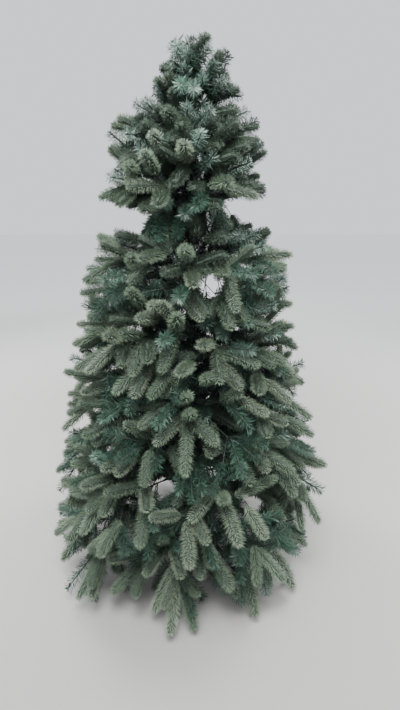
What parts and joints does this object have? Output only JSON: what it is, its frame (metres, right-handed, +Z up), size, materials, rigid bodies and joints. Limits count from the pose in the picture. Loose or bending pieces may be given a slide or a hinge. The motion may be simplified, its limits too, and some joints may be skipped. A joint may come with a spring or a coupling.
{
  "type": "artificial christmas tree on a folding stand",
  "caption": "Undecorated artificial fir: a steel pole in a folding stand carries tiers of branches with plump moulded tips and thin foil needles, narrowing to a bent top.",
  "frame": {"origin": "centre of the stand's flat underside, on the pole's axis at floor level", "axes": "+Z up along the pole; -Y is the side that faces the room, +X to the right of someone looking at that side"},
  "size_m": [1.0425, 1.0488, 1.7982],
  "materials": {
    "pole": "satin dark green paint",
    "stand": "satin black paint",
    "bolt": "zinc plate",
    "bough": "wire wrapped in dark green tape",
    "foliage_moulded": "matte grey-green moulded needles",
    "foliage_foil": "slightly glossy blue-green cut film needles"
  },
  "bodies": {
    "root": {"bough_lower_1": "bough", "bough_lower_2": "bough", "bough_lower_3": "bough", "bough_lower_4": "bough", "bough_lower_5": "bough", "bough_lower_6": "bough", "bough_middle_1": "bough", "bough_middle_2": "bough", "bough_middle_3": "bough", "bough_middle_4": "bough", "bough_middle_5": "bough", "bough_skirt_1": "bough", "bough_skirt_2": "bough", "bough_skirt_3": "bough", "bough_skirt_4": "bough", "bough_skirt_5": "bough", "bough_skirt_6": "bough", "clamp_bolt": "bolt", "foliage_leader": "foliage_foil", "foliage_lower_1": "foliage_moulded", "foliage_lower_2": "foliage_moulded", "foliage_lower_3": "foliage_moulded", "foliage_lower_4": "foliage_moulded", "foliage_lower_5": "foliage_moulded", "foliage_lower_6": "foliage_moulded", "foliage_middle_1": "foliage_moulded", "foliage_middle_2": "foliage_moulded", "foliage_middle_3": "foliage_moulded", "foliage_middle_4": "foliage_moulded", "foliage_middle_5": "foliage_moulded", "foliage_neck_1": "foliage_moulded", "foliage_neck_2": "foliage_moulded", "foliage_neck_3": "foliage_moulded", "foliage_neck_4": "foliage_moulded", "foliage_shoulder_1": "foliage_moulded", "foliage_shoulder_2": "foliage_moulded", "foliage_shoulder_3": "foliage_moulded", "foliage_shoulder_4": "foliage_moulded", "foliage_shoulder_5": "foliage_moulded", "foliage_skirt_1": "foliage_moulded", "foliage_skirt_2": "foliage_moulded", "foliage_skirt_3": "foliage_moulded", "foliage_skirt_4": "foliage_moulded", "foliage_skirt_5": "foliage_moulded", "foliage_skirt_6": "foliage_moulded", "foliage_top_1": "foliage_moulded", "foliage_top_2": "foliage_moulded", "foliage_top_3": "foliage_moulded", "foliage_top_4": "foliage_moulded", "foliage_upper_1": "foliage_moulded", "foliage_upper_2": "foliage_moulded", "foliage_upper_3": "foliage_moulded", "foliage_upper_4": "foliage_moulded", "foliage_upper_5": "foliage_moulded", "pole": "pole", "stand_leg_1": "stand", "stand_leg_2": "stand", "stand_leg_3": "stand", "stand_leg_4": "stand", "stand_socket": "stand"}
  },
  "joints": []
}
